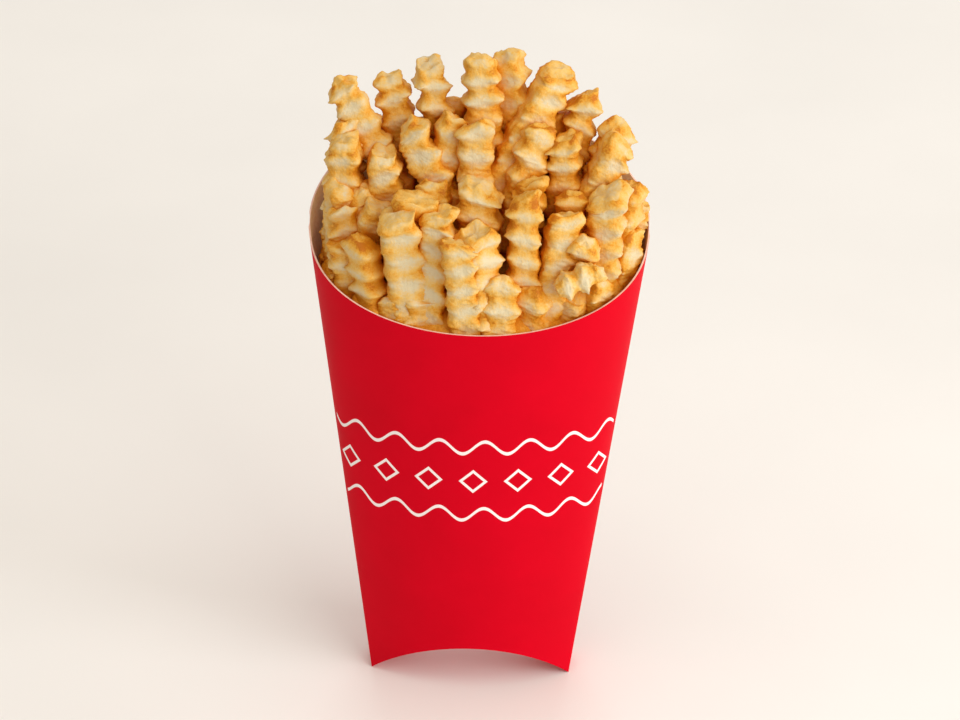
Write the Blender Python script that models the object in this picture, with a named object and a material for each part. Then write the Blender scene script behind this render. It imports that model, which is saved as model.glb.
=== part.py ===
"""Crinkle-cut french fries standing in a scoop carton of folded paperboard.

Metres, +Z up. The origin is on the floor, midway between the carton's two feet. The low front rim
faces -Y and the tall back panel is at +Y. All the driving dimensions below are in millimetres.
"""

import math
import random
from dataclasses import dataclass

import bmesh
import bpy
from mathutils import Matrix, Vector

MM = 0.001
MERGE = 0.000001            # in metres: shorter edges are degenerate

# Carton
BOARD = 0.5                 # thickness of the paperboard
TOP_HALF_WIDTH = 48.3       # the side creases at the mouth
FOOT_HALF_WIDTH = 30.0      # the side creases at the floor
CREASE_HEIGHT = 147.5       # where front and back panel meet at the mouth
FRONT_HALF_DEPTH = 29.0     # bulge of the front panel at the mouth
BACK_HALF_DEPTH = 27.0      # bulge of the back panel at the mouth
FOOT_HALF_DEPTH = 15.0      # bulge of both panels at the floor
GUSSET_HALF = 6.0           # half the foot of the narrow triangular gusset in each side
ARCH_HEIGHT = 15.0          # the bottom edges and the pushed-in bottom panel rise this much
FRONT_DIP = 18.7            # the front rim's middle lies this much below the crease tops
FRONT_DIP_POWER = 0.77      # below 1 the dip starts steeply at the creases
BACK_RISE = 24.0            # the back rim's middle stands this much above the crease tops
PANEL_COLUMNS = 28
PANEL_ROWS = 4

# Filling
CLEARANCE = 0.45            # between the fries and the board
CORE_COLUMNS = 14
CORE_DEPTH = 27.0           # the plain core lies this far below the fries' tips
HEAP_MIDDLE = 172.0         # height of the tips over the middle of the mouth
HEAP_SLOPE = 0.62           # they rise towards the back
HEAP_SIDE_DROP = 9.0        # and fall towards both sides
WAVE = 6.8                  # length of one crinkle
CREST = 0.9                 # a crinkle's height above and below the cut face
THICK_SHARE = 0.88          # a fry's thickness as a share of its width
FILLER_INSET = 5.5          # fillers stand this far inside the panels
FILLER_SPACING = 6.8        # and this far from the fries already there
FRONT_SINK = 8.0            # those along the low front rim are shorter
SEED = 41

# Each fry that shows: x, y and z of its tip in millimetres, its lean towards +X and towards the
# back in degrees, its width in millimetres and its turn about its own length in degrees.
FRONT_FRIES = (
    (-40, -5, 157, 4, 4, 9.0, 10),
    (-42, -7, 141, -4, 8, 7.4, 30),
    (-38, -9, 149, -8, 4, 10.0, -8),
    (-34, -11, 135, -12, 6, 9.6, 25),
    (-25, -16, 137, -7, 6, 10.0, -20),
    (-23, -17, 161, -7, 5, 11.0, 6),
    (-17, -18, 138, -8, 4, 10.8, 14),
    (-11, -14, 162, 4, 7, 9.2, -14),
    (-5, -21, 156, -4, 2, 9.6, 0),
    (0, -17, 158, -5, 4, 10.4, 38),
    (7, -20, 144, 1, 3, 9.6, 5),
    (12.5, -12, 166, -1, 4, 9.4, 0),
    (16, -18, 140, 1, 4, 10.0, -24),
    (24, -10, 160, 8, 10, 9.6, 10),
    (27, -15, 138, 9, 5, 9.6, -30),
    (35, -12, 141, 9, 6, 8.4, 40),
    (37, -8, 165, -4, 5, 10.0, -12),
    (44, -4, 151, 6, 3, 7.0, 40),
)
MIDDLE_FRIES = (
    (-41, -1, 163, 2, 6, 8.4, 30),
    (-38, 6, 174, 4, 6, 9.6, -10),
    (-34, 0, 161, -14, 6, 8.8, 20),
    (-29.5, -8, 159, 24, 9, 9.2, 14),
    (-28, 4, 171, -4, 7, 9.4, 0),
    (-22, 8, 177, -32, 18, 9.2, 0),
    (-18, -10, 164, -2, -14, 12.0, 0),
    (-12, -2, 165, 12, 9, 9.8, -16),
    (-8, 10, 180, 10, 12, 8.6, 12),
    (-1, 6, 180, 0, 6, 9.6, 4),
    (1, -6, 166, 4, 7, 12.4, -6),
    (16, 8, 178, 15, 16, 9.2, 12),
    (23, 6, 176, 0, 5, 9.6, -8),
    (31.5, -2, 155, 1, 2, 9.2, 25),
    (31, -15, 154, 15, -26, 8.8, 0),
    (40, 7, 175, 26, 17, 9.0, 8),
    (42, 0, 165, 1, 5, 9.0, -30),
    (44, 5, 158, 6, 4, 7.4, 20),
)
BACK_FRIES = (
    (-40, 11, 177, -8, 7, 8.6, 30),
    (-41, 15, 187, -31, 11, 8.6, 6),
    (-25.5, 20, 188, -8, 7, 8.6, 0),
    (-16, 18, 192, -11, 6, 8.8, 12),
    (-0.5, 16, 195, -3, 7, 10.0, 0),
    (6.5, 20, 195, -7, 7, 8.8, -20),
    (22.5, 18, 191, 30, 20, 9.4, 10),
    (29, 16, 185, 8, 9, 8.8, 0),
    (39, 12, 178, 18, 10, 9.4, 45),
)
# One short end lies across the others at the front right: both its ends, and its width
LYING_FRY = ((22, -21.5, 141), (35, -17, 146), 7.0)


@dataclass
class Fry:
    """A crinkle-cut stick from its foot to its tip, in millimetres."""

    foot: Vector
    tip: Vector
    width: float
    thick: float
    turn: float
    wave: float
    phase: float
    slip: float


def wall_point(side, angle, height, inset=0.0):
    """Point of the front (-1) or back (+1) panel; a panel is ruled by one straight line per angle."""
    share = height / CREASE_HEIGHT
    half_width = FOOT_HALF_WIDTH + (TOP_HALF_WIDTH - FOOT_HALF_WIDTH) * share - inset
    foot_depth = GUSSET_HALF + (FOOT_HALF_DEPTH - GUSSET_HALF) * math.cos(angle) ** 2
    mouth_depth = (FRONT_HALF_DEPTH if side < 0 else BACK_HALF_DEPTH) * math.cos(angle)
    depth = foot_depth * (1 - share) + mouth_depth * share
    depth -= min(inset, depth / 2)
    return Vector((half_width * math.sin(angle), side * depth, height))


def rim_height(side, angle):
    """The mouth dips in front and rises behind, and both panels meet at the creases."""
    opening = max(math.cos(angle), 0.0)
    if side < 0:
        return CREASE_HEIGHT - FRONT_DIP * opening ** FRONT_DIP_POWER
    return CREASE_HEIGHT + BACK_RISE * opening


def arch_height(angle):
    """Height of the arched bottom edge, and of the pushed-in bottom panel between both edges."""
    return ARCH_HEIGHT * math.cos(angle) ** 2


def column_angles(count):
    return [math.radians(180 * i / count - 90) for i in range(count + 1)]


def shell_surface(mesh, columns, rows, inset, top, bottom):
    """Panels, gussets and bottom panel as one open cup; returns its top row, front and back."""
    angles = column_angles(columns)
    grid = {}
    for side in (-1, 1):
        for i, angle in enumerate(angles):
            low, high = bottom(angle), top(side, angle)
            for j in range(rows + 1):
                height = low + (high - low) * j / rows
                at_end = i in (0, columns)
                if at_end and j == rows and side > 0:
                    grid[side, i, j] = grid[-1, i, j]
                    continue
                point = wall_point(side, angle, height, inset)
                if at_end and j == rows:
                    point.y = 0.0
                grid[side, i, j] = mesh.verts.new(point * MM)
    for i in range(columns):
        for j in range(rows):
            for side in (-1, 1):
                a, b = grid[side, i, j], grid[side, i + 1, j]
                c, d = grid[side, i + 1, j + 1], grid[side, i, j + 1]
                mesh.faces.new((a, b, c, d) if side < 0 else (d, c, b, a))
        mesh.faces.new((grid[1, i, 0], grid[1, i + 1, 0], grid[-1, i + 1, 0], grid[-1, i, 0]))
    for i in (0, columns):
        for j in range(rows):
            ring = [grid[1, i, j], grid[-1, i, j], grid[-1, i, j + 1], grid[1, i, j + 1]]
            ring = list(dict.fromkeys(ring))
            mesh.faces.new(ring if i == 0 else ring[::-1])
    return {side: [grid[side, i, rows] for i in range(columns + 1)] for side in (-1, 1)}


def finish_object(mesh, name, material):
    """Turn the bmesh into a named object with its material."""
    data = bpy.data.meshes.new(name)
    mesh.to_mesh(data)
    mesh.free()
    data.materials.append(material)
    made = bpy.data.objects.new(name, data)
    bpy.context.scene.collection.objects.link(made)
    return made


def plain_material(name, colour, roughness, metallic=0.0):
    material = bpy.data.materials.new(name)
    material.use_nodes = True
    shader = material.node_tree.nodes["Principled BSDF"]
    shader.inputs["Base Color"].default_value = (*colour, 1.0)
    shader.inputs["Roughness"].default_value = roughness
    shader.inputs["Metallic"].default_value = metallic
    return material


def make_carton():
    """One sheet of board: the outer surface, given its thickness on the inside."""
    mesh = bmesh.new()
    shell_surface(mesh, PANEL_COLUMNS, PANEL_ROWS, 0.0, rim_height, arch_height)
    carton = finish_object(mesh, "carton", plain_material("red_board", (0.75, 0.0, 0.015), 0.35))
    wall = carton.modifiers.new("board", "SOLIDIFY")
    wall.thickness = BOARD * MM
    wall.offset = -1.0
    wall.use_even_offset = True
    wall.use_rim = True
    return carton


def heap_top(x, y):
    """Height of the fries' tips over a point of the mouth."""
    return HEAP_MIDDLE + HEAP_SLOPE * y - HEAP_SIDE_DROP * (x / TOP_HALF_WIDTH) ** 2


def make_core():
    """The packed lower fries as one plain body that fills the carton."""
    inset = BOARD + CLEARANCE + 0.2
    floor = ARCH_HEIGHT + 1.5 * inset

    def top(side, angle):
        mouth = wall_point(side, angle, CREASE_HEIGHT, inset)
        return heap_top(mouth.x, mouth.y) - CORE_DEPTH

    mesh = bmesh.new()
    rows = shell_surface(mesh, CORE_COLUMNS, 3, inset, top, lambda angle: floor)
    rim = rows[-1] + rows[1][-2:0:-1]
    ring = [mesh.verts.new(v.co * 0.5 + Vector((0, 0, v.co.z * 0.5))) for v in rim]
    for v in ring:
        v.co.z = (heap_top(v.co.x / MM, v.co.y / MM) - CORE_DEPTH) * MM
    middle = mesh.verts.new(Vector((0, 0, heap_top(0, 0) - CORE_DEPTH)) * MM)
    count = len(rim)
    for i in range(count):
        k = (i + 1) % count
        mesh.faces.new((rim[i], rim[k], ring[k], ring[i]))
        mesh.faces.new((ring[i], ring[k], middle))
    bmesh.ops.recalc_face_normals(mesh, faces=mesh.faces)
    return finish_object(mesh, "fries", plain_material("fried_potato", (0.83, 0.55, 0.22), 0.6))


def stand_direction(side_lean, back_lean):
    slope = Vector((math.tan(math.radians(side_lean)), math.tan(math.radians(back_lean)), 1.0))
    return slope.normalized()


def room_used(point, inset):
    """Share of the way from the carton's axis to the board, 1 at the inset wall."""
    share = point.z / CREASE_HEIGHT
    half_width = FOOT_HALF_WIDTH + (TOP_HALF_WIDTH - FOOT_HALF_WIDTH) * share - inset
    across = point.x / half_width
    if abs(across) >= 0.999:
        return abs(across) + 0.05
    wall = wall_point(-1 if point.y < 0 else 1, math.asin(across), point.z, inset)
    return max(abs(across), abs(point.y) / max(abs(wall.y), 0.1))


def fry_frame(fry):
    """Axes of a fry: across its broad face, through it, and along it."""
    along = (fry.tip - fry.foot).normalized()
    across = Vector((0, 1, 0)).cross(along).normalized()
    through = along.cross(across)
    turned = Matrix.Rotation(math.radians(fry.turn), 3, along)
    return turned @ across, turned @ through, along


def move_inside(fry):
    """Shift a fry towards the axis until its corners clear the board all along the walls."""
    across, through, along = fry_frame(fry)
    length = (fry.tip - fry.foot).length
    corners = [
        across * (a * (fry.width / 2)) + through * (b * (fry.thick / 2))
        for a in (-1, 1)
        for b in (-1, 1)
    ]
    for _ in range(80):
        worst, push = 1.0, None
        for i in range(9):
            for corner in corners:
                point = fry.foot + along * (length * i / 8) + corner
                side = -1 if point.y < 0 else 1
                angle = math.asin(max(-1.0, min(1.0, point.x / TOP_HALF_WIDTH)))
                if point.z > rim_height(side, angle) + 12:
                    continue
                used = room_used(point, BOARD + CLEARANCE)
                if used > worst:
                    worst, push = used, Vector((-point.x / 48 ** 2, -point.y / 28 ** 2, 0))
        if push is None:
            return
        step = push.normalized() * 0.35
        fry.foot += step
        fry.tip += step * 0.4


def drawn_fry(draw, tip, side_lean, back_lean, width, turn, length):
    """A fry with its own wave; slip 0 gives beads, and 1 gives a snaking stick."""
    tip = Vector(tip)
    fry = Fry(
        foot=tip - stand_direction(side_lean, back_lean) * length,
        tip=tip,
        width=width,
        thick=width * THICK_SHARE * draw.uniform(0.92, 1.08),
        turn=turn,
        wave=WAVE * draw.uniform(0.88, 1.12),
        phase=draw.uniform(0, 1),
        slip=draw.choice((0.0, 0.0, 1.0)),
    )
    move_inside(fry)
    return fry


def filler_places(draw):
    """Rows across the mouth, then a row that follows each panel."""
    for row in range(6):
        for column in range(10):
            x = -43 + 9.6 * column + 4.8 * (row % 2)
            yield x + draw.uniform(-1.5, 1.5), -19 + 8.6 * row + draw.uniform(-1.5, 1.5)
    for side in (1, -1):
        for step in range(-8, 9):
            angle = math.radians(9.5 * step + draw.uniform(-2, 2))
            wall = wall_point(side, angle, CREASE_HEIGHT, FILLER_INSET)
            yield wall.x, wall.y


def arranged_fries():
    """The fries that show, and fillers where the mouth has room for more."""
    draw = random.Random(SEED)
    fries = []
    for x, y, z, side_lean, back_lean, width, turn in FRONT_FRIES + MIDDLE_FRIES + BACK_FRIES:
        length = max(18.0, z - heap_top(x, y) + CORE_DEPTH + 9)
        fries.append(drawn_fry(draw, (x, y, z), side_lean, back_lean, width, turn, length))
    for x, y in filler_places(draw):
        sink = draw.uniform(3, 12) + (FRONT_SINK if y < -14 else 0)
        side_lean = 7 * x / TOP_HALF_WIDTH + draw.uniform(-9, 9)
        back_lean = 6 * y / FRONT_HALF_DEPTH + draw.uniform(-6, 6)
        width, turn = draw.uniform(8.4, 10.2), draw.uniform(-45, 45)
        tip = Vector((x, y, heap_top(x, y) - sink))
        if room_used(Vector((x, y, CREASE_HEIGHT)), BOARD + FILLER_INSET - 1.5) > 1:
            continue
        if any(axis_distance(fry, tip) < FILLER_SPACING for fry in fries):
            continue
        fries.append(drawn_fry(draw, tip, side_lean, back_lean, width, turn, CORE_DEPTH))
    return fries


def axis_distance(fry, point):
    """Distance from a point to a fry's middle line."""
    along = fry.tip - fry.foot
    share = max(0.0, min(1.0, (point - fry.foot).dot(along) / along.length_squared))
    return (point - (fry.foot + along * share)).length


def lying_fry(draw):
    start, end, width = LYING_FRY
    return Fry(Vector(start), Vector(end), width, width * 0.8, 0.0, 6.0, draw.uniform(0, 1), 0.0)


def fry_mesh(fry):
    """Four-sided stick with a ring on each crest and in each valley."""
    across, through, along = fry_frame(fry)
    length = (fry.tip - fry.foot).length
    step = fry.wave / 2
    count = max(2, round(length / step))
    mesh = bmesh.new()
    rings = []
    for i in range(count + 1):
        distance = length * i / count
        swing = CREST if (i + round(fry.phase)) % 2 else -CREST
        grow = swing * (1 - fry.slip)
        slide = swing * fry.slip
        end = 0.82 if i in (0, count) else 1.0
        half_width = (fry.width / 2 - CREST * 0.5) * end + grow * 0.8
        half_thick = (fry.thick / 2 - CREST * 0.5) * end + grow * 0.8
        middle = fry.foot + along * distance + across * slide + through * slide * 0.6
        rings.append(
            [
                mesh.verts.new((middle + across * (a * half_width) + through * (b * half_thick)) * MM)
                for a, b in ((-1, -1), (1, -1), (1, 1), (-1, 1))
            ]
        )
    for low, high in zip(rings, rings[1:]):
        for k in range(4):
            n = (k + 1) % 4
            mesh.faces.new((low[k], low[n], high[n], high[k]))
    mesh.faces.new(rings[0][::-1])
    mesh.faces.new(rings[-1])
    bmesh.ops.recalc_face_normals(mesh, faces=mesh.faces)
    bmesh.ops.triangulate(mesh, faces=mesh.faces)
    return mesh


def keep_main_body(data):
    """Drop the scraps and sealed hollows that the union leaves, and merge its near-equal points."""
    mesh = bmesh.new()
    mesh.from_mesh(data)
    bmesh.ops.dissolve_degenerate(mesh, edges=mesh.edges, dist=MERGE)
    bmesh.ops.triangulate(mesh, faces=mesh.faces)
    left = set(mesh.faces)
    islands = []
    while left:
        island, edge_of = [left.pop()], 0
        while edge_of < len(island):
            for side in island[edge_of].edges:
                for face in side.link_faces:
                    if face in left:
                        left.remove(face)
                        island.append(face)
            edge_of += 1
        islands.append(island)
    islands.sort(key=len)
    scraps = [face for island in islands[:-1] for face in island]
    bmesh.ops.delete(mesh, geom=scraps, context="FACES")
    mesh.to_mesh(data)
    mesh.free()


def make_fries():
    """The core with every fry fused on."""
    core = make_core()
    pile = bpy.data.collections.new("pile")
    bpy.context.scene.collection.children.link(pile)
    material = core.data.materials[0]
    fries = arranged_fries()
    fries.append(lying_fry(random.Random(SEED)))
    for number, fry in enumerate(fries):
        stick = finish_object(fry_mesh(fry), f"fry_{number:02d}", material)
        bpy.context.scene.collection.objects.unlink(stick)
        pile.objects.link(stick)
    union = core.modifiers.new("pile", "BOOLEAN")
    union.operation = "UNION"
    union.operand_type = "COLLECTION"
    union.collection = pile
    union.solver = "MANIFOLD"
    bpy.context.view_layer.objects.active = core
    bpy.ops.object.modifier_apply(modifier=union.name)
    for stick in list(pile.objects):
        bpy.data.objects.remove(stick)
    bpy.data.collections.remove(pile)
    keep_main_body(core.data)
    return core


def main():
    for old in list(bpy.data.objects):
        bpy.data.objects.remove(old)
    make_carton()
    make_fries()


main()
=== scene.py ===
"""Crinkle-cut fries in a red scoop carton: the finished surfaces over the carton's solids.

Metres, +Z up, the origin on the floor between the carton's feet, the low front rim at -Y.
The driving dimensions are in millimetres, like those of the solids.
"""

import math
import random
from dataclasses import dataclass

import bmesh
import bpy
import numpy as np
from mathutils import Matrix, Vector, noise


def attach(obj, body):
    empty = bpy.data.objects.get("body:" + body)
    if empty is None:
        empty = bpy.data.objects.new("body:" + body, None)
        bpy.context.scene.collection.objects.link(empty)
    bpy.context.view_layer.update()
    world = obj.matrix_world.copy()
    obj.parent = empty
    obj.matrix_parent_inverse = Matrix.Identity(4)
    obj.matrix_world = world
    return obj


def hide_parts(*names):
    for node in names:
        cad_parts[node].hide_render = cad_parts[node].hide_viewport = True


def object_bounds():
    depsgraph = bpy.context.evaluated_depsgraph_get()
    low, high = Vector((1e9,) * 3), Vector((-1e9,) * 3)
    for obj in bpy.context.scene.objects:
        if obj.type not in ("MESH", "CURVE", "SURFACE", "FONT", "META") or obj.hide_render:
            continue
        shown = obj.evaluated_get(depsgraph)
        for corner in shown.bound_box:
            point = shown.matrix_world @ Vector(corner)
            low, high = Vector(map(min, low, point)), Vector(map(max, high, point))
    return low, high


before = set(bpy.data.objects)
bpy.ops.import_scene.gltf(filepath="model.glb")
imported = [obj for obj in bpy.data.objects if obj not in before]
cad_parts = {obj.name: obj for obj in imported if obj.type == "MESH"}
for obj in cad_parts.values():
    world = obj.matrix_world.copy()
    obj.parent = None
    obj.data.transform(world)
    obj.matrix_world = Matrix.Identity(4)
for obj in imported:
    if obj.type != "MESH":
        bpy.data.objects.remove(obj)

CAD_BOUNDS = [list(corner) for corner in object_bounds()]
MM = 0.001

# Carton
BOARD = 0.5                 # thickness of the paperboard
TOP_HALF_WIDTH = 48.3       # the side creases at the mouth
FOOT_HALF_WIDTH = 30.0      # the side creases at the floor
CREASE_HEIGHT = 147.5       # where front and back panel meet at the mouth
FRONT_HALF_DEPTH = 29.0     # bulge of the front panel at the mouth
BACK_HALF_DEPTH = 27.0      # bulge of the back panel at the mouth
FOOT_HALF_DEPTH = 15.0      # bulge of both panels at the floor
GUSSET_HALF = 6.0           # half the foot of the narrow triangular gusset in each side
ARCH_HEIGHT = 15.0          # the bottom edges and the pushed-in bottom panel rise this much
FRONT_DIP = 18.7            # the front rim's middle lies this much below the crease tops
FRONT_DIP_POWER = 0.77      # below 1 the dip starts steeply at the creases
BACK_RISE = 24.0            # the back rim's middle stands this much above the crease tops
PANEL_COLUMNS = 96
PANEL_ROWS = 40
BOTTOM_ROWS = 12
SEAM = 0.69                 # the glued flap ends here, as a share of the way to the back's fold
SEAM_END = 0.97             # and lies flush with the panel again from here
SEAM_LIFT = 0.3             # its edge stands this proud of the panel
WELD = 0.02                 # points closer than this are one

# Filling
CLEARANCE = 0.45            # between the fries and the board
CORE_DEPTH = 27.0           # the solids' plain core lies this far below the fries' tips
HEAP_MIDDLE = 172.0         # height of the tips over the middle of the mouth
HEAP_SLOPE = 0.62           # they rise towards the back
HEAP_SIDE_DROP = 9.0        # and fall towards both sides
WAVE = 6.8                  # length of one crinkle
CREST = 0.9                 # a crinkle's height above and below the cut face
THICK_SHARE = 0.88          # a fry's thickness as a share of its width
FILLER_INSET = 5.5          # fillers stand this far inside the panels
FILLER_SPACING = 6.8        # and this far from the fries already there
FRONT_SINK = 8.0            # those along the low front rim are shorter
SEED = 41

# Each fry that shows: x, y and z of its tip in millimetres, its lean towards +X and towards the
# back in degrees, its width in millimetres and its turn about its own length in degrees.
FRONT_FRIES = (
    (-40, -5, 157, 4, 4, 9.0, 10),
    (-42, -7, 141, -4, 8, 7.4, 30),
    (-38, -9, 149, -8, 4, 10.0, -8),
    (-34, -11, 135, -12, 6, 9.6, 25),
    (-25, -16, 137, -7, 6, 10.0, -20),
    (-23, -17, 161, -7, 5, 11.0, 6),
    (-17, -18, 138, -8, 4, 10.8, 14),
    (-11, -14, 162, 4, 7, 9.2, -14),
    (-5, -21, 156, -4, 2, 9.6, 0),
    (0, -17, 158, -5, 4, 10.4, 38),
    (7, -20, 144, 1, 3, 9.6, 5),
    (12.5, -12, 166, -1, 4, 9.4, 0),
    (16, -18, 140, 1, 4, 10.0, -24),
    (24, -10, 160, 8, 10, 9.6, 10),
    (27, -15, 138, 9, 5, 9.6, -30),
    (35, -12, 141, 9, 6, 8.4, 40),
    (37, -8, 165, -4, 5, 10.0, -12),
    (44, -4, 151, 6, 3, 7.0, 40),
)
MIDDLE_FRIES = (
    (-41, -1, 163, 2, 6, 8.4, 30),
    (-38, 6, 174, 4, 6, 9.6, -10),
    (-34, 0, 161, -14, 6, 8.8, 20),
    (-29.5, -8, 159, 24, 9, 9.2, 14),
    (-28, 4, 171, -4, 7, 9.4, 0),
    (-22, 8, 177, -32, 18, 9.2, 0),
    (-18, -10, 164, -2, -14, 12.0, 0),
    (-12, -2, 165, 12, 9, 9.8, -16),
    (-8, 10, 180, 10, 12, 8.6, 12),
    (-1, 6, 180, 0, 6, 9.6, 4),
    (1, -6, 166, 4, 7, 12.4, -6),
    (16, 8, 178, 15, 16, 9.2, 12),
    (23, 6, 176, 0, 5, 9.6, -8),
    (31.5, -2, 155, 1, 2, 9.2, 25),
    (31, -15, 154, 15, -26, 8.8, 0),
    (40, 7, 175, 26, 17, 9.0, 8),
    (42, 0, 165, 1, 5, 9.0, -30),
    (44, 5, 158, 6, 4, 7.4, 20),
)
BACK_FRIES = (
    (-40, 11, 177, -8, 7, 8.6, 30),
    (-41, 15, 187, -31, 11, 8.6, 6),
    (-25.5, 20, 188, -8, 7, 8.6, 0),
    (-16, 18, 192, -11, 6, 8.8, 12),
    (-0.5, 16, 195, -3, 7, 10.0, 0),
    (6.5, 20, 195, -7, 7, 8.8, -20),
    (22.5, 18, 191, 30, 20, 9.4, 10),
    (29, 16, 185, 8, 9, 8.8, 0),
    (39, 12, 178, 18, 10, 9.4, 45),
)
# One short end lies across the others at the front right: both its ends, and its width
LYING_FRY = ((22, -21.5, 141), (35, -17, 146), 7.0)

# Modelled detail of the fries
AROUND = 44                 # points round a fry that shows
RINGS = 104                 # rings along it
FILLER_AROUND = 20
FILLER_RINGS = 60
CORNER_POWER = 5.2          # how square the cut is
END_DROP = 1.1              # the tips lie this much lower than in the solids, for their torn edges
BOARD_GAP = 0.12            # the finished crust keeps this far off the board
FLAKE = 1.9                 # size of the flakes raised along a fry's corners
LIP_GRAIN = 0.9             # size of the nicks in those corners
TORN = 2.2                  # size of the steps in a broken end
PIT = 1.1                   # size of the pits in an end face
LUMP = 4.0                  # the crust swells in lumps of this size
BLISTER = 1.4               # has blisters of this size
CRUMB = 0.7                 # and crumbs of this size
CORE_SINK = 1.0             # the core's top lies this much deeper here than in the solids

# Print
PRINT_HEIGHT = 78.0         # middle of the printed band on each panel
STROKE = 1.15               # width of the printed lines
PRINT_WAVE = 13.0           # length of one wave; the diamonds stand this far apart
PRINT_SWING = 2.2           # the waves' height above and below their middle
PRINT_RISE = 12.0           # each wavy line lies this far above or below the diamonds
DIAMOND_HALF = 3.6          # from a diamond's middle to its corners
PRINT_END = 0.86            # the print stops at this share of the way to the fold

# Camera, as worked out from the carton's outline in the picture
PICTURE_WIDTH = 960
FOCAL_PIXELS = 3108.0
CAMERA_DISTANCE = 900.0
CAMERA_ELEVATION = 30.0
CAMERA_AZIMUTH = 0.64
CAMERA_ROLL = 1.2
CAMERA_TARGET = (1.0, 0.0, 105.5)


@dataclass
class Fry:
    """A crinkle-cut stick from its foot to its tip, in millimetres."""

    foot: Vector
    tip: Vector
    width: float
    thick: float
    turn: float
    wave: float
    phase: float
    slip: float


def crease_reach(height):
    """Distance of the side creases from the middle at a height; takes an array too."""
    return FOOT_HALF_WIDTH + (TOP_HALF_WIDTH - FOOT_HALF_WIDTH) * height / CREASE_HEIGHT


def wall_point(side, angle, height, inset=0.0):
    """Point of the front (-1) or back (+1) panel; a panel is ruled by one straight line per angle."""
    share = height / CREASE_HEIGHT
    half_width = crease_reach(height) - inset
    foot_depth = GUSSET_HALF + (FOOT_HALF_DEPTH - GUSSET_HALF) * math.cos(angle) ** 2
    mouth_depth = (FRONT_HALF_DEPTH if side < 0 else BACK_HALF_DEPTH) * math.cos(angle)
    depth = foot_depth * (1 - share) + mouth_depth * share
    depth -= min(inset, depth / 2)
    return Vector((half_width * math.sin(angle), side * depth, height))


def rim_height(side, angle):
    """The mouth dips in front and rises behind, and both panels meet at the creases."""
    opening = max(math.cos(angle), 0.0)
    if side < 0:
        return CREASE_HEIGHT - FRONT_DIP * opening ** FRONT_DIP_POWER
    return CREASE_HEIGHT + BACK_RISE * opening


def arch_height(angle):
    """Height of the arched bottom edge, and of the pushed-in bottom panel between both edges."""
    return ARCH_HEIGHT * math.cos(angle) ** 2


def heap_top(x, y):
    """Height of the fries' tips over a point of the mouth."""
    return HEAP_MIDDLE + HEAP_SLOPE * y - HEAP_SIDE_DROP * (x / TOP_HALF_WIDTH) ** 2


def stand_direction(side_lean, back_lean):
    """The way a fry points, from its leans in degrees."""
    slope = Vector((math.tan(math.radians(side_lean)), math.tan(math.radians(back_lean)), 1.0))
    return slope.normalized()


def room_used(point, inset):
    """Share of the way from the carton's axis to the board, 1 at the inset wall."""
    half_width = crease_reach(point.z) - inset
    across = point.x / half_width
    if abs(across) >= 0.999:
        return abs(across) + 0.05
    wall = wall_point(-1 if point.y < 0 else 1, math.asin(across), point.z, inset)
    return max(abs(across), abs(point.y) / max(abs(wall.y), 0.1))


def fry_frame(fry):
    """Axes of a fry: across its broad face, through it, and along it."""
    along = (fry.tip - fry.foot).normalized()
    across = Vector((0, 1, 0)).cross(along).normalized()
    through = along.cross(across)
    turned = Matrix.Rotation(math.radians(fry.turn), 3, along)
    return turned @ across, turned @ through, along


def move_inside(fry):
    """Shift a fry towards the axis until its corners clear the board all along the walls."""
    across, through, along = fry_frame(fry)
    length = (fry.tip - fry.foot).length
    corners = [
        across * (a * (fry.width / 2)) + through * (b * (fry.thick / 2))
        for a in (-1, 1)
        for b in (-1, 1)
    ]
    for _ in range(80):
        worst, push = 1.0, None
        for i in range(9):
            for corner in corners:
                point = fry.foot + along * (length * i / 8) + corner
                side = -1 if point.y < 0 else 1
                angle = math.asin(max(-1.0, min(1.0, point.x / TOP_HALF_WIDTH)))
                if point.z > rim_height(side, angle) + 12:
                    continue
                used = room_used(point, BOARD + CLEARANCE)
                if used > worst:
                    worst, push = used, Vector((-point.x / 48 ** 2, -point.y / 28 ** 2, 0))
        if push is None:
            return
        step = push.normalized() * 0.35
        fry.foot += step
        fry.tip += step * 0.4


def drawn_fry(draw, tip, side_lean, back_lean, width, turn, length):
    """A fry with its own wave; slip 0 gives beads, and 1 gives a snaking stick."""
    tip = Vector(tip)
    fry = Fry(
        foot=tip - stand_direction(side_lean, back_lean) * length,
        tip=tip,
        width=width,
        thick=width * THICK_SHARE * draw.uniform(0.92, 1.08),
        turn=turn,
        wave=WAVE * draw.uniform(0.88, 1.12),
        phase=draw.uniform(0, 1),
        slip=draw.choice((0.0, 0.0, 1.0)),
    )
    move_inside(fry)
    return fry


def filler_places(draw):
    """Rows across the mouth, then a row that follows each panel."""
    for row in range(6):
        for column in range(10):
            x = -43 + 9.6 * column + 4.8 * (row % 2)
            yield x + draw.uniform(-1.5, 1.5), -19 + 8.6 * row + draw.uniform(-1.5, 1.5)
    for side in (1, -1):
        for step in range(-8, 9):
            angle = math.radians(9.5 * step + draw.uniform(-2, 2))
            wall = wall_point(side, angle, CREASE_HEIGHT, FILLER_INSET)
            yield wall.x, wall.y


def axis_distance(fry, point):
    """Distance from a point to a fry's middle line."""
    along = fry.tip - fry.foot
    share = max(0.0, min(1.0, (point - fry.foot).dot(along) / along.length_squared))
    return (point - (fry.foot + along * share)).length


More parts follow.
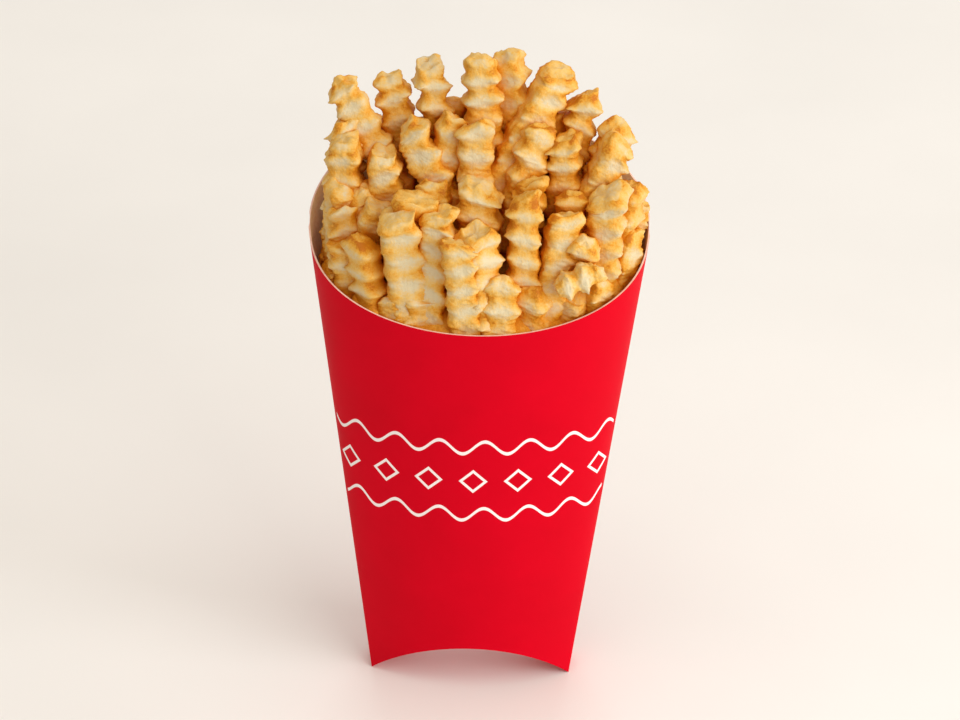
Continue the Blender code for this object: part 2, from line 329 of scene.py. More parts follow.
def arranged_fries():
    """The fries that show by row, and fillers where the mouth has room for more."""
    draw = random.Random(SEED)
    fries = []
    for x, y, z, side_lean, back_lean, width, turn in FRONT_FRIES + MIDDLE_FRIES + BACK_FRIES:
        length = max(18.0, z - heap_top(x, y) + CORE_DEPTH + 9)
        fries.append(drawn_fry(draw, (x, y, z), side_lean, back_lean, width, turn, length))
    shown = len(fries)
    for x, y in filler_places(draw):
        sink = draw.uniform(3, 12) + (FRONT_SINK if y < -14 else 0)
        side_lean = 7 * x / TOP_HALF_WIDTH + draw.uniform(-9, 9)
        back_lean = 6 * y / FRONT_HALF_DEPTH + draw.uniform(-6, 6)
        width, turn = draw.uniform(8.4, 10.2), draw.uniform(-45, 45)
        tip = Vector((x, y, heap_top(x, y) - sink))
        if room_used(Vector((x, y, CREASE_HEIGHT)), BOARD + FILLER_INSET - 1.5) > 1:
            continue
        if any(axis_distance(fry, tip) < FILLER_SPACING for fry in fries):
            continue
        fries.append(drawn_fry(draw, tip, side_lean, back_lean, width, turn, CORE_DEPTH))
    first, second = len(FRONT_FRIES), len(FRONT_FRIES) + len(MIDDLE_FRIES)
    return fries[:first], fries[first:second], fries[second:shown], fries[shown:]


def lying_fry(draw):
    """The short end that lies across the others."""
    start, end, width = LYING_FRY
    return Fry(Vector(start), Vector(end), width, width * 0.8, 0.0, 6.0, draw.uniform(0, 1), 0.0)


def deselect():
    """Leave edit mode, and clear the selection."""
    if bpy.context.object and bpy.context.object.mode != "OBJECT":
        bpy.ops.object.mode_set(mode="OBJECT")
    bpy.ops.object.select_all(action="DESELECT")


def apply_modifiers(piece):
    """Turn a piece's modifiers into its own mesh."""
    deselect()
    piece.select_set(True)
    bpy.context.view_layer.objects.active = piece
    for modifier in list(piece.modifiers):
        bpy.ops.object.modifier_apply(modifier=modifier.name)


def join(pieces, name):
    """One mesh from several; the first one's materials lead."""
    deselect()
    for piece in pieces:
        piece.select_set(True)
    bpy.context.view_layer.objects.active = pieces[0]
    bpy.ops.object.join()
    pieces[0].name = name
    pieces[0].data.name = name
    return pieces[0]


def weld(piece):
    """Close the seams between joined grids, and turn every face outwards."""
    deselect()
    piece.select_set(True)
    bpy.context.view_layer.objects.active = piece
    bpy.ops.object.mode_set(mode="EDIT")
    bpy.ops.mesh.select_all(action="SELECT")
    bpy.ops.mesh.remove_doubles(threshold=WELD * MM)
    bpy.ops.mesh.dissolve_degenerate(threshold=WELD * MM)
    bpy.ops.mesh.select_all(action="SELECT")
    bpy.ops.mesh.normals_make_consistent(inside=False)
    bpy.ops.object.mode_set(mode="OBJECT")


def linear(code):
    """A colour written as #rrggbb, as the linear values that a shader takes."""
    parts = [int(code[i : i + 2], 16) / 255 for i in (1, 3, 5)]
    return [c / 12.92 if c <= 0.04045 else ((c + 0.055) / 1.055) ** 2.4 for c in parts] + [1.0]


def add(tree, kind, links=(), **settings):
    """A shader node: settings by name, then its inputs as values or as other nodes' outputs."""
    node = tree.nodes.new("ShaderNode" + kind)
    for name, value in settings.items():
        setattr(node, name, value)
    for socket, value in dict(links).items():
        if isinstance(value, bpy.types.NodeSocket):
            tree.links.new(value, node.inputs[socket])
        else:
            node.inputs[socket].default_value = value
    return node


def new_material(name):
    """An empty node material with a Principled shader on its output."""
    material = bpy.data.materials.new(name)
    material.use_nodes = True
    tree = material.node_tree
    tree.nodes.clear()
    shader = add(tree, "BsdfPrincipled")
    output = add(tree, "OutputMaterial")
    tree.links.new(shader.outputs["BSDF"], output.inputs["Surface"])
    return material, tree, shader


def ramp(tree, value, stops):
    """A colour for a value, from stops of a place and a colour each."""
    node = add(tree, "ValToRGB", {"Fac": value})
    elements = node.color_ramp.elements
    while len(elements) < len(stops):
        elements.new(0.5)
    for element, (place, code) in zip(elements, stops):
        element.position = place
        element.color = linear(code)
    return node.outputs["Color"]


def math_node(tree, operation, first, second=0.0, third=0.0):
    """The result of one sum in a material."""
    return add(tree, "Math", {0: first, 1: second, 2: third}, operation=operation).outputs[0]


def fried_potato(name, tone=0.0):
    """Deep-fried potato: a matt, slightly oily crust, cream where it bulges, brown where it is thin; the
    browner valleys are partly painted shade.

    tone browns it all over. The crust attribute holds how far a point bulges, how near it is to a corner
    (0.5 for none, and lower on raised lips, as a painted highlight) and how near to the tip; the tone
    attribute is each fry's own."""
    material, tree, shader = new_material(name)
    place = add(tree, "TexCoord").outputs["Object"]
    crust = add(tree, "Attribute", attribute_name="crust").outputs["Color"]
    split = add(tree, "SeparateColor", {"Color": crust})
    crest, end = split.outputs[0], split.outputs[2]
    edge = math_node(tree, "MULTIPLY_ADD", split.outputs[1], 2.0, -1.0)
    own = add(tree, "Attribute", attribute_name="tone").outputs["Fac"]
    # Patches of 5 mm, mottling of 1.5 mm and pores of 0.5 mm
    patches = add(tree, "TexNoise", {"Vector": place, "Scale": 200.0, "Detail": 3.0}).outputs["Fac"]
    mottle = add(tree, "TexNoise", {"Vector": place, "Scale": 700.0, "Detail": 4.0}).outputs["Fac"]
    pores = add(tree, "TexNoise", {"Vector": place, "Scale": 1900.0, "Detail": 2.0}).outputs["Fac"]
    # Painted shade: where ambient occlusion finds a crevice, the colour is browned, warmed towards orange
    # and, deepest in, turned a saturated orange
    opened = add(tree, "AmbientOcclusion", {"Distance": 13 * MM}, samples=8).outputs["AO"]
    closed = math_node(tree, "SUBTRACT", 1.0, opened)
    # Browner in the valleys of the wave: partly the crust, partly painted shade in the grooves
    valley = math_node(tree, "SUBTRACT", 1.0, crest)
    brown = math_node(tree, "MULTIPLY_ADD", valley, 0.5, tone - 0.02)
    painted_crevice_mask = add(tree, "MapRange", {"Value": closed, "From Min": 0.2, "From Max": 0.8}).outputs[0]
    brown = math_node(tree, "MULTIPLY_ADD", painted_crevice_mask, 0.26, brown)
    brown = math_node(tree, "MULTIPLY_ADD", edge, 0.28, brown)
    brown = math_node(tree, "MULTIPLY_ADD", end, 0.34, brown)
    brown = math_node(tree, "MULTIPLY_ADD", own, 0.1, brown)
    loose = math_node(tree, "SUBTRACT", patches, 0.5)
    brown = math_node(tree, "MULTIPLY_ADD", loose, 0.45, brown)
    fine = math_node(tree, "SUBTRACT", mottle, 0.5)
    brown = math_node(tree, "MULTIPLY_ADD", fine, 0.40, brown)
    dots = math_node(tree, "SUBTRACT", pores, 0.5)
    brown = math_node(tree, "MULTIPLY_ADD", dots, 0.55, brown)
    surface = ramp(
        tree,
        brown,
        ((0.0, "#D7C8A4"), (0.22, "#DDC18C"), (0.48, "#E3B762"), (0.78, "#DD9A2E"), (1.0, "#BE6E14")),
    )
    # Painted glow: shaded crevices are mixed towards a bright orange, standing in for light that passes
    # through the potato
    painted_glow_share = math_node(tree, "MULTIPLY", painted_crevice_mask, 0.5)
    surface = add(tree, "Mix", {0: painted_glow_share, 6: surface, 7: linear("#EC9C18")}, data_type="RGBA").outputs[2]
    # Painted shade and bounce light: the deepest crevices take a saturated orange in place of the crust's
    # colour
    painted_depth_share = add(
        tree,
        "MapRange",
        {"Value": closed, "From Min": 0.5, "From Max": 0.95},
        interpolation_type="SMOOTHSTEP",
    ).outputs[0]
    painted_depth_colour = ramp(tree, closed, ((0.5, "#DE9E28"), (0.75, "#DC8E14"), (1.0, "#DC7C0A")))
    colour = add(tree, "Mix", {0: painted_depth_share, 6: surface, 7: painted_depth_colour}, data_type="RGBA").outputs[2]
    tree.links.new(colour, shader.inputs["Base Color"])
    rough = add(tree, "MapRange", {"Value": mottle, "To Min": 0.42, "To Max": 0.68}).outputs[0]
    tree.links.new(rough, shader.inputs["Roughness"])
    shader.inputs["IOR"].default_value = 1.45
    shader.inputs["Specular IOR Level"].default_value = 0.22
    grain = math_node(tree, "MULTIPLY_ADD", pores, 0.6, mottle)
    bump = add(tree, "Bump", {"Height": grain, "Strength": 0.6, "Distance": 0.4 * MM})
    tree.links.new(bump.outputs["Normal"], shader.inputs["Normal"])
    return material


def stick_blank(name, around, rings):
    """A unit cylinder, ringed along its length and round both ends, as the stock for every fry."""
    deselect()
    bpy.ops.mesh.primitive_cylinder_add(
        vertices=around, radius=1.0, depth=1.0, end_fill_type="NGON", location=(0, 0, 0.5)
    )
    blank = bpy.context.object
    blank.name = name
    bpy.ops.object.transform_apply(location=True)
    bpy.ops.object.mode_set(mode="EDIT")
    mesh = bmesh.from_edit_mesh(blank.data)
    bpy.ops.mesh.select_all(action="DESELECT")
    bpy.ops.mesh.select_mode(type="EDGE")
    for edge in mesh.edges:
        ends = [v.co.z for v in edge.verts]
        edge.select = abs(ends[0] - ends[1]) > 0.5
    bmesh.update_edit_mesh(blank.data)
    bpy.ops.mesh.subdivide(number_cuts=rings - 1)
    bpy.ops.mesh.select_mode(type="FACE")
    for step in (0.14, 0.24, 0.3):
        mesh = bmesh.from_edit_mesh(blank.data)
        for face in mesh.faces:
            face.select = len(face.verts) > 4
        bmesh.update_edit_mesh(blank.data)
        bpy.ops.mesh.inset(thickness=step, depth=0.0)
    bpy.ops.mesh.poke()
    bpy.ops.object.mode_set(mode="OBJECT")
    bpy.ops.object.shade_smooth()
    return blank


def smoothstep(value):
    """An eased step from 0 to 1, for an array."""
    value = np.clip(value, 0.0, 1.0)
    return value * value * (3 - 2 * value)


def field_noise(points, scale, seed):
    """Smooth noise from -1 to 1 at points in millimetres; scale is the size of one lump."""
    shift = Vector((seed * 7.31, seed * 3.77, seed * 5.19))
    return np.array([noise.noise(Vector(p) / scale + shift) for p in points])


def kept_off_board(points):
    """Points in millimetres, drawn in towards the axis where they would touch the board."""
    share = points[:, 2] / CREASE_HEIGHT
    half_width = crease_reach(points[:, 2]) - BOARD - BOARD_GAP
    across = np.clip(np.abs(points[:, 0]) / half_width, 0, 1)
    opening = np.sqrt(1 - across ** 2)
    front = points[:, 1] < 0
    foot_depth = GUSSET_HALF + (FOOT_HALF_DEPTH - GUSSET_HALF) * opening ** 2
    mouth_depth = np.where(front, FRONT_HALF_DEPTH, BACK_HALF_DEPTH) * opening
    depth = foot_depth * (1 - share) + mouth_depth * share
    depth = np.maximum(depth - BOARD - BOARD_GAP, depth / 2)
    rim = CREASE_HEIGHT + np.where(front, -FRONT_DIP * opening ** FRONT_DIP_POWER, BACK_RISE * opening)
    held = smoothstep((rim + 2.5 - points[:, 2]) / 2.0)
    past = np.maximum(np.abs(points[:, 0]) - TOP_HALF_WIDTH + 1, 0)
    points = points.copy()
    points[:, 0] -= np.sign(points[:, 0]) * (past - 1 + np.exp(-past))
    kept = points.copy()
    kept[:, 0] = np.clip(points[:, 0], -half_width, half_width)
    kept[:, 1] = np.clip(points[:, 1], -depth, depth)
    return points + (kept - points) * held[:, None]


def shaped_fry(blank, fry, draw, tone):
    """A copy of the blank cut to one fry: waves, raised edges, blisters and rough ends."""
    piece = blank.copy()
    piece.data = blank.data.copy()
    bpy.context.scene.collection.objects.link(piece)
    count = len(piece.data.vertices)
    unit = np.empty(count * 3, np.float32)
    piece.data.vertices.foreach_get("co", unit)
    unit = unit.reshape(-1, 3).astype(float)
    radius = np.hypot(unit[:, 0], unit[:, 1])
    around = np.arctan2(unit[:, 1], unit[:, 0])
    across, through, along = fry_frame(fry)
    length = (fry.tip - fry.foot).length
    share = unit[:, 2]
    distance = share * length

    # The cut section is a rounded rectangle; on the end faces the radius shrinks it to nothing
    square = (np.abs(np.cos(around)) ** CORNER_POWER + np.abs(np.sin(around)) ** CORNER_POWER) ** (
        -1 / CORNER_POWER
    )
    flat_x = np.cos(around) * square
    flat_y = np.sin(around) * square
    corner = smoothstep((np.abs(np.sin(2 * around)) - 0.5) / 0.5)

    # The wave: broad crests, narrow valleys, cut a little askew
    steps = max(2, round(length / (fry.wave / 2)))
    wave = 2 * length / steps
    askew_x = draw.uniform(-0.22, 0.22) * flat_x + draw.uniform(-0.1, 0.1) * flat_y
    drift = 0.12 * np.sin(distance / length * draw.uniform(2, 6) + draw.uniform(0, 6))
    turns = distance / wave + 0.5 * round(fry.phase) + askew_x + drift
    swell = np.sin(np.pi * turns) ** 2
    pointed = 1.08 - 1.08 * np.sqrt(np.cos(np.pi * turns) ** 2 + 0.03)
    crest = np.clip(swell + (pointed - swell) * corner, 0, 1)
    sway = 2 * crest - 1.1
    depth = draw.uniform(0.6, 1.05) * fry.width / 9.6 * (1 + 0.4 * np.sin(turns * 2.1 + draw.uniform(0, 6)))
    grow = sway * CREST * depth * (1 - fry.slip * 0.6)
    slide = np.sin(2 * np.pi * (turns - 0.25)) * CREST * 0.7 * fry.slip

    # Uneven cutting, and thin raised lips where a crest meets the corners
    seed = draw.uniform(0, 100)
    uneven = 0.05 * np.sin(distance / 9 + draw.uniform(0, 6))
    local = np.stack([flat_x * 4, flat_y * 4, distance], axis=1)
    flake = np.maximum(field_noise(local, FLAKE, seed + 3), 0)
    to_end = np.minimum(distance, length - distance)
    ragged_lip = field_noise(local, LIP_GRAIN, seed + 13) * 0.42
    lip = corner * (crest ** 2 * (0.2 + 1.5 * flake) + ragged_lip) * smoothstep(to_end / 2.2)
    half_width = fry.width / 2 * (0.97 + uneven) + grow * 0.9 + lip
    half_thick = fry.thick / 2 * (0.97 - uneven) + grow * 0.42 + lip
    ragged = 1 + 0.5 * field_noise(np.stack([flat_x * 3, flat_y * 3, flat_x * 0], axis=1), 2.0, seed + 7)
    blunt = np.clip(1 - to_end / (draw.uniform(2.4, 4.6) * ragged), 0, 1)
    shrink = 1 - draw.uniform(0.1, 0.5) * blunt ** 2
    x = flat_x * half_width * radius * shrink + slide
    y = flat_y * half_thick * radius * shrink + slide * 0.5

    # The far end is cut or broken off at a slant, with a torn edge
    slant = draw.uniform(-0.5, 0.5) * x + draw.uniform(-0.5, 0.5) * y
    torn = field_noise(np.stack([x, y, distance * 0 + seed], axis=1), TORN, seed) * 1.2
    last = smoothstep((share - 0.8) / 0.2)
    hollow = draw.uniform(-0.8, 1.5) * (1 - radius ** 2) * (share > 0.999)
    cap = (share > 0.999) & (radius < 0.95)
    pitted = field_noise(np.stack([x, y, distance * 0 - seed], axis=1), PIT, seed) * 0.5 * cap
    z = distance + last * (slant + torn - END_DROP) + hollow + pitted

    bend = draw.uniform(-1.2, 1.2) * (share ** 2)
    bend_back = draw.uniform(-0.8, 0.8) * (share ** 2)
    basis = np.array([list(across), list(through), list(along)])
    placed = np.stack([x + bend, y + bend_back, z], axis=1) @ basis + np.array(list(fry.foot))

    # Lumps, blisters and crumbs, pushed straight out from the middle
    outward = np.stack([x, y, np.zeros(count)], axis=1)
    outward /= np.maximum(np.linalg.norm(outward, axis=1), 0.3)[:, None]
    outward = outward @ basis
    lumps = field_noise(placed, LUMP, seed) * 0.45
    blisters = field_noise(placed, BLISTER, seed + 9)
    rough = np.abs(blisters) * 0.55 + field_noise(placed, CRUMB, seed + 5) * 0.16
    placed += outward * ((lumps + rough) * (radius > 0.6))[:, None]
    placed = kept_off_board(placed)
    placed[:, 2] = np.minimum(placed[:, 2], CAD_BOUNDS[1][2] / MM - 0.1)

    piece.data.vertices.foreach_set("co", (placed * MM).astype(np.float32).ravel())
    tip = np.exp(-(length - distance) / draw.uniform(2.0, 4.5)) * draw.uniform(0.2, 1.1)
    facing = 0.52 + 0.48 * smoothstep((np.abs(flat_y) - 0.55) / 0.4)
    # Browner along the corners, and lighter where a raised lip stands out: a painted highlight
    rim_and_lip_highlight = corner * (radius > 0.9) * (1 - 1.6 * np.clip(flake * crest, 0, 1))
    # Paler on the crests than in the valleys, which is partly painted shade in the grooves
    pale = np.where(cap, 0.25 + 0.5 * (1 - radius ** 2), swell * facing)
    crust = np.stack([pale, 0.5 + 0.5 * rim_and_lip_highlight, tip, np.ones(count)], axis=1)
    store(piece, "crust", "FLOAT_COLOR", "color", crust)
    store(piece, "tone", "FLOAT", "value", np.full(count, tone))
    return piece


def store(piece, name, kind, field, values):
    """Keep a value for each point of a piece, for its material."""
    layer = piece.data.attributes.new(name, kind, "POINT")
    layer.data.foreach_set(field, np.asarray(values, np.float32).ravel())


def make_fries(name, blank, fries, material, draw):
    """One row of fries as one piece on the body, in place of the solids' fries."""
    sticks = [shaped_fry(blank, fry, draw, draw.uniform(-0.5, 0.75)) for fry in fries]
    piece = join(sticks, name)
    piece.data.materials.clear()
    piece.data.materials.append(material)
    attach(piece, "root")
    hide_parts("fries")
    return piece


def map_grid(piece, point_at):
    """Move each vertex of a flat unit grid, -1 to 1 both ways, to its place in millimetres."""
    for vertex in piece.data.vertices:
        vertex.co = point_at(vertex.co.x, vertex.co.y) * MM


def grid(columns, rows, point_at):
    """A flat grid bent to the shape that point_at gives."""
    deselect()
    bpy.ops.mesh.primitive_grid_add(x_subdivisions=columns, y_subdivisions=rows, size=2)
    piece = bpy.context.object
    map_grid(piece, point_at)
    return piece


def panel(side):
    """Front or back panel on its ruled surface, from the arched foot to the rim."""

    def point_at(across, up):
        angle = math.radians(90 * across)
        low, high = arch_height(angle), rim_height(side, angle)
        height = low + (high - low) * (up + 1) / 2
        lift = 0.0
        if side > 0 and SEAM < across < SEAM_END:
            lift = SEAM_LIFT * (SEAM_END - across) / (SEAM_END - SEAM) * min(1.0, (height - low) / 4)
        return wall_point(side, angle, height, -lift)

    return grid(PANEL_COLUMNS, PANEL_ROWS, point_at)


def gusset(hand):
    """Narrow triangle between the two side folds, closed to a point at the mouth."""

    def point_at(across, up):
        height = CREASE_HEIGHT * (up + 1) / 2
        edge = wall_point(1, math.radians(90 * hand), height)
        depth = GUSSET_HALF * (1 - height / CREASE_HEIGHT)
        return Vector((edge.x, across * depth, height))

    return grid(BOTTOM_ROWS, PANEL_ROWS, point_at)


def bottom_panel():
    """Pushed-in bottom between the two arched edges."""

    def point_at(across, deep):
        angle = math.radians(90 * across)
        height = arch_height(angle)
        front = wall_point(-1, angle, height)
        back = wall_point(1, angle, height)
        return front.lerp(back, (deep + 1) / 2)

    return grid(PANEL_COLUMNS, BOTTOM_ROWS, point_at)


def arc_length(side, angle, height):
    """Distance along a panel's curve from its middle, signed like the angle."""
    steps = 12
    points = [wall_point(side, angle * i / steps, height) for i in range(steps + 1)]
    total = sum((high - low).length for low, high in zip(points, points[1:]))
    return math.copysign(total, angle)


def sheet_position(piece):
    """Store each point's place on its panel: across and up in millimetres, and a share of the way
    from the middle to the fold."""
    values = []
    for vertex in piece.data.vertices:
        point = vertex.co / MM
        angle = math.asin(max(-1.0, min(1.0, point.x / crease_reach(point.z))))
        side = -1 if point.y < 0 else 1
        values += [arc_length(side, angle, point.z), point.z, abs(angle) / (math.pi / 2)]
    store(piece, "sheet", "FLOAT_VECTOR", "vector", values)


def printed_board():
    """Coated paperboard printed solid red: smooth, almost matt, with a white band of waves and diamonds."""
    material, tree, shader = new_material("printed_red_board")
    place = add(tree, "TexCoord").outputs["Object"]
    sheet = add(tree, "Attribute", attribute_name="sheet").outputs["Vector"]
    split = add(tree, "SeparateXYZ", {"Vector": sheet})
    across, up, to_fold = split.outputs[0], split.outputs[1], split.outputs[2]
    # One wavy line above and one below a row of diamonds
    phase = math_node(tree, "MULTIPLY", across, 2 * math.pi / PRINT_WAVE)
    wave = math_node(tree, "MULTIPLY", math_node(tree, "SINE", phase), PRINT_SWING)
    height = math_node(tree, "SUBTRACT", up, PRINT_HEIGHT)
    marks = []
    for offset in (-PRINT_RISE, PRINT_RISE):
        line = math_node(tree, "SUBTRACT", math_node(tree, "SUBTRACT", height, offset), wave)
        marks.append(soft_mark(tree, math_node(tree, "ABSOLUTE", line), STROKE / 2))
    cell = math_node(tree, "PINGPONG", across, PRINT_WAVE / 2)
    diamond = math_node(tree, "ADD", cell, math_node(tree, "ABSOLUTE", height))
    rim = math_node(tree, "ABSOLUTE", math_node(tree, "SUBTRACT", diamond, DIAMOND_HALF))
    marks.append(soft_mark(tree, rim, STROKE / 2))
    ink = marks[0]
    for mark in marks[1:]:
        ink = math_node(tree, "MAXIMUM", ink, mark)
    ink = math_node(tree, "MULTIPLY", ink, math_node(tree, "LESS_THAN", to_fold, PRINT_END))
    # Ink laydown varies a little over some 20 mm
    clouds = add(tree, "TexNoise", {"Vector": place, "Scale": 50.0, "Detail": 3.0}).outputs["Fac"]
    red = ramp(tree, clouds, ((0.3, "#CE001B"), (0.7, "#D6001E")))
    # Ink worn off in specks along the side folds, and the pale cut edge of the flap glued on the back
    specks = add(tree, "TexNoise", {"Vector": place, "Scale": 260.0, "Detail": 6.0}).outputs["Fac"]
    fold = math_node(tree, "COMPARE", to_fold, 0.99, 0.005)
    gone = {"Value": specks, "From Min": 0.5, "From Max": 0.8, "To Max": 0.4}
    worn = math_node(tree, "MULTIPLY", fold, add(tree, "MapRange", gone).outputs[0])
    sides = add(tree, "SeparateXYZ", {"Vector": place})
    on_back = math_node(tree, "GREATER_THAN", sides.outputs[1], 0.001)
    on_right = math_node(tree, "GREATER_THAN", sides.outputs[0], 0.0)
    seam = math_node(tree, "COMPARE", to_fold, SEAM, 0.003)
    seam = math_node(tree, "MULTIPLY", seam, math_node(tree, "MULTIPLY", on_back, on_right))
    bare = math_node(tree, "MAXIMUM", worn, math_node(tree, "MULTIPLY", seam, 0.8))
    red = add(tree, "Mix", {0: bare, 6: red, 7: linear("#F0C8C0")}, data_type="RGBA").outputs[2]
    white = ramp(tree, clouds, ((0.3, "#F6EEEE"), (0.7, "#FFF8F8")))
    colour = add(tree, "Mix", {0: ink, 6: red, 7: white}, data_type="RGBA").outputs[2]
    tree.links.new(colour, shader.inputs["Base Color"])
    # Paper fibres of about 0.4 mm under the coating
    fibres = add(tree, "TexNoise", {"Vector": place, "Scale": 2500.0, "Detail": 2.0}).outputs["Fac"]
    rough = add(tree, "MapRange", {"Value": clouds, "To Min": 0.48, "To Max": 0.58}).outputs[0]
    tree.links.new(rough, shader.inputs["Roughness"])
    shader.inputs["IOR"].default_value = 1.48
    shader.inputs["Specular IOR Level"].default_value = 0.04
    bump = add(tree, "Bump", {"Height": fibres, "Strength": 0.12, "Distance": 0.05 * MM})
    tree.links.new(bump.outputs["Normal"], shader.inputs["Normal"])
    return material


def soft_mark(tree, distance, half):
    """1 inside a printed line and 0 outside, with an edge of 0.15 mm."""
    return add(
        tree,
        "MapRange",
        {"Value": distance, "From Min": half - 0.08, "From Max": half + 0.08, "To Min": 1.0, "To Max": 0.0},
    ).outputs[0]


def bare_board(name, pale, dark):
    """Uncoated side of the board: matt, faintly fibrous off-white."""
    material, tree, shader = new_material(name)
    place = add(tree, "TexCoord").outputs["Object"]
    fibres = add(tree, "TexNoise", {"Vector": place, "Scale": 900.0, "Detail": 5.0}).outputs["Fac"]
    tree.links.new(ramp(tree, fibres, ((0.3, dark), (0.7, pale))), shader.inputs["Base Color"])
    shader.inputs["Roughness"].default_value = 0.85
    bump = add(tree, "Bump", {"Height": fibres, "Strength": 0.3, "Distance": 0.08 * MM})
    tree.links.new(bump.outputs["Normal"], shader.inputs["Normal"])
    return material


def make_carton():
    """The folded sheet: ruled panels, side gussets and pushed-in bottom, with the board's thickness."""
    sheet = join([panel(-1), panel(1), gusset(-1), gusset(1), bottom_panel()], "carton_sheet")
    sheet_position(sheet)
    weld(sheet)
    centre = sum((v.co for v in sheet.data.vertices), Vector()) / len(sheet.data.vertices)
    face = max(sheet.data.polygons, key=lambda f: f.center.x)
    if face.normal.dot(face.center - centre) < 0:
        sheet.data.flip_normals()
    for material in (
        printed_board(),
        bare_board("bare_board_inside", "#FDE9CC", "#F4D8B2"),
        bare_board("cut_edge", "#F0CCBC", "#E2B4A2"),
    ):
        sheet.data.materials.append(material)
    wall = sheet.modifiers.new("board", "SOLIDIFY")
    wall.thickness = BOARD * MM
    wall.offset = -1.0
    wall.use_even_offset = True
    wall.material_offset = 1
    wall.material_offset_rim = 2
    apply_modifiers(sheet)
    # In the sharp folds at the sides the inner face would come through the outer one
    for vertex in sheet.data.vertices:
        reach = min(crease_reach(vertex.co.z / MM), TOP_HALF_WIDTH) * MM
        if abs(vertex.co.x) > reach + 0.001 * MM:
            vertex.co.x = math.copysign(reach - 0.2 * MM, vertex.co.x)
    deselect()
    sheet.select_set(True)
    bpy.context.view_layer.objects.active = sheet
    bpy.ops.object.shade_smooth_by_angle(angle=math.radians(28))
    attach(sheet, "root")
    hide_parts("carton")
    return sheet


def make_core(material):
    """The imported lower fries: a lumpy body that fills the carton below the sticks."""
    inset = BOARD + CLEARANCE + 0.3
    floor = ARCH_HEIGHT + 1.5 * inset

    def side_point(side, angle, up):
        mouth = wall_point(side, angle, CREASE_HEIGHT, inset)
        high = heap_top(mouth.x, mouth.y) - CORE_DEPTH - CORE_SINK
        return wall_point(side, angle, floor + (high - floor) * (up + 1) / 2, inset)

    def wall_at(side):
        return lambda across, up: side_point(side, math.radians(90 * across), up)

    def end_at(hand):
        return lambda across, up: side_point(-1, math.radians(90 * hand), up).lerp(
            side_point(1, math.radians(90 * hand), up), (across + 1) / 2
        )

    def floor_at(across, deep):
        angle = math.radians(90 * across)
        return side_point(-1, angle, -1).lerp(side_point(1, angle, -1), (deep + 1) / 2)

    def top_at(across, deep):
        angle = math.radians(90 * across)
        point = side_point(-1, angle, 1).lerp(side_point(1, angle, 1), (deep + 1) / 2)
        lump = noise.noise(point / 6.0) * 2.5 * (1 - abs(deep) ** 6) * math.cos(angle)
        return point + Vector((0, 0, lump))

    parts = [grid(64, 12, wall_at(-1)), grid(64, 12, wall_at(1)), grid(2, 12, end_at(-1))]
    parts += [grid(2, 12, end_at(1)), grid(64, 32, floor_at), grid(64, 32, top_at)]
    core = join(parts, "fries_core")
    weld(core)
    core.data.materials.append(material)
    for face in core.data.polygons:
        face.use_smooth = True
    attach(core, "root")
    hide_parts("fries")
    return core


def make_floor():
    """Pale seamless sweep, flat under the carton and curving up far behind it."""
    deselect()
    bpy.ops.mesh.primitive_grid_add(x_subdivisions=8, y_subdivisions=48, size=2)
    sweep = bpy.context.object
    sweep.name = "studio_floor"
    for vertex in sweep.data.vertices:
        x, y = vertex.co.x * 3.0, vertex.co.y * 3.0
        rise = max(0.0, y - 1.2)
        vertex.co = Vector((x, min(y, 2.2), rise ** 2 * 0.8))
    bpy.ops.object.shade_smooth()
    material, tree, shader = new_material("pale_studio_floor")
    place = add(tree, "TexCoord").outputs["Object"]
    clouds = add(tree, "TexNoise", {"Vector": place, "Scale": 6.0, "Detail": 3.0}).outputs["Fac"]
    tree.links.new(ramp(tree, clouds, ((0.3, "#EDECEA"), (0.7, "#F3F2F0"))), shader.inputs["Base Color"])
    shader.inputs["Roughness"].default_value = 0.7
    sweep.data.materials.append(material)


def area_light(name, place, aim, size, watts, colour):
    light = bpy.data.lights.new(name, "AREA")
    light.shape = "RECTANGLE"
    light.size, light.size_y = size
    light.energy = watts
    light.color = linear(colour)[:3]
    lamp = bpy.data.objects.new(name, light)
    bpy.context.scene.collection.objects.link(lamp)
    lamp.location = place
    lamp.rotation_euler = (Vector(aim) - Vector(place)).to_track_quat("-Z", "Y").to_euler()


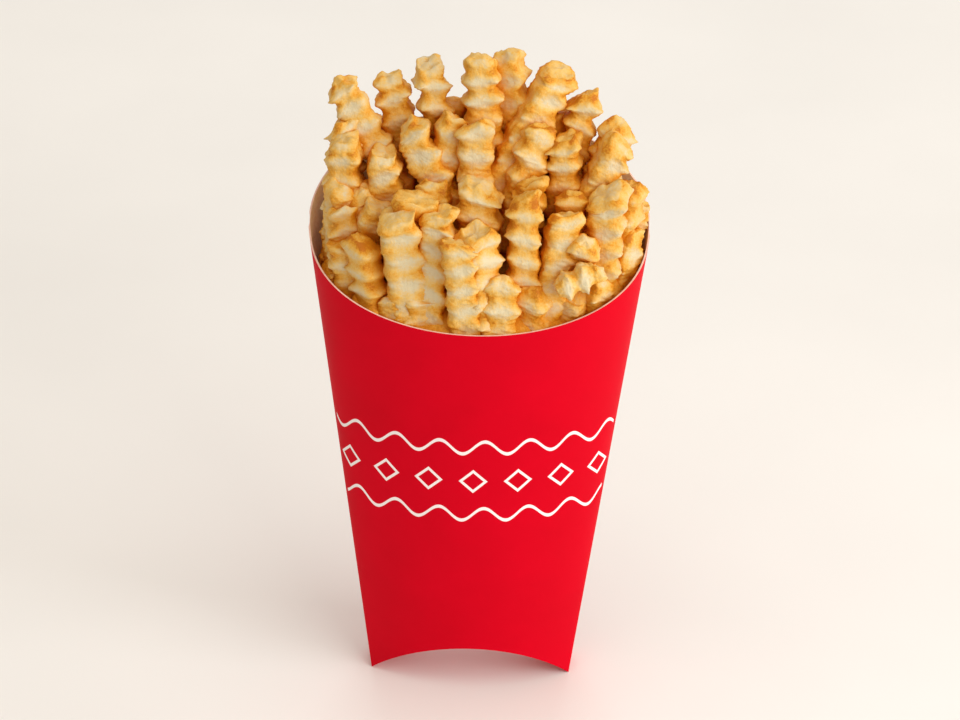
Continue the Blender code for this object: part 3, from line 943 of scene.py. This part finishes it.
def light_studio():
    aim = (0.0, 0.0, 0.13)
    area_light("key_right", (1.05, -0.42, 0.45), aim, (0.5, 0.8), 7.0, "#FFFFFF")
    area_light("front_fill", (0.66, -0.86, 0.72), aim, (0.7, 0.5), 3.9, "#FFFDF8")
    area_light("above_front", (0.05, -0.25, 1.25), aim, (0.9, 0.7), 2.9, "#FFFAF0")
    area_light("back_above", (0.0, 0.9, 0.8), aim, (0.7, 0.4), 2.5, "#FFFFFF")
    world = bpy.data.worlds.new("studio")
    bpy.context.scene.world = world
    world.use_nodes = True
    world.node_tree.nodes["Background"].inputs["Color"].default_value = linear("#FFF5E8")
    world.node_tree.nodes["Background"].inputs["Strength"].default_value = 0.58
    bpy.context.scene.view_settings.view_transform = "Standard"


def set_camera():
    """The picture's view: elevation, distance and roll were fitted to the carton's outline."""
    elevation, azimuth = math.radians(CAMERA_ELEVATION), math.radians(CAMERA_AZIMUTH)
    back = Vector(
        (
            math.sin(azimuth) * math.cos(elevation),
            -math.cos(azimuth) * math.cos(elevation),
            math.sin(elevation),
        )
    )
    right = (-back).cross(Vector((0, 0, 1))).normalized()
    up = right.cross(-back)
    roll = math.radians(CAMERA_ROLL)
    rolled_right = right * math.cos(roll) + up * math.sin(roll)
    rolled_up = up * math.cos(roll) - right * math.sin(roll)
    data = bpy.data.cameras.new("camera")
    data.sensor_width = 36.0
    data.lens = FOCAL_PIXELS * data.sensor_width / PICTURE_WIDTH
    camera = bpy.data.objects.new("camera", data)
    bpy.context.scene.collection.objects.link(camera)
    placed = Matrix((rolled_right, rolled_up, back)).transposed().to_4x4()
    placed.translation = (Vector(CAMERA_TARGET) + back * CAMERA_DISTANCE) * MM
    camera.matrix_world = placed
    bpy.context.scene.camera = camera


def main():
    set_camera()
    make_carton()
    draw = random.Random(SEED + 1)
    front, middle, back, fillers = arranged_fries()
    front.append(lying_fry(random.Random(SEED)))
    crust = fried_potato("fried_potato_crust")
    blank = stick_blank("stick", AROUND, RINGS)
    make_fries("fries_front", blank, front, crust, draw)
    make_fries("fries_middle", blank, middle, crust, draw)
    make_fries("fries_back", blank, back, crust, draw)
    coarse = stick_blank("plain_stick", FILLER_AROUND, FILLER_RINGS)
    # The fillers are browned a little more than the fries on top, and the core much more: painted shade for
    # lying deeper
    make_fries("fries_filler", coarse, fillers, fried_potato("fried_potato_below", 0.08), draw)
    bpy.data.objects.remove(blank)
    bpy.data.objects.remove(coarse)
    make_core(fried_potato("fried_potato_core", 0.6))
    make_floor()
    light_studio()


main()
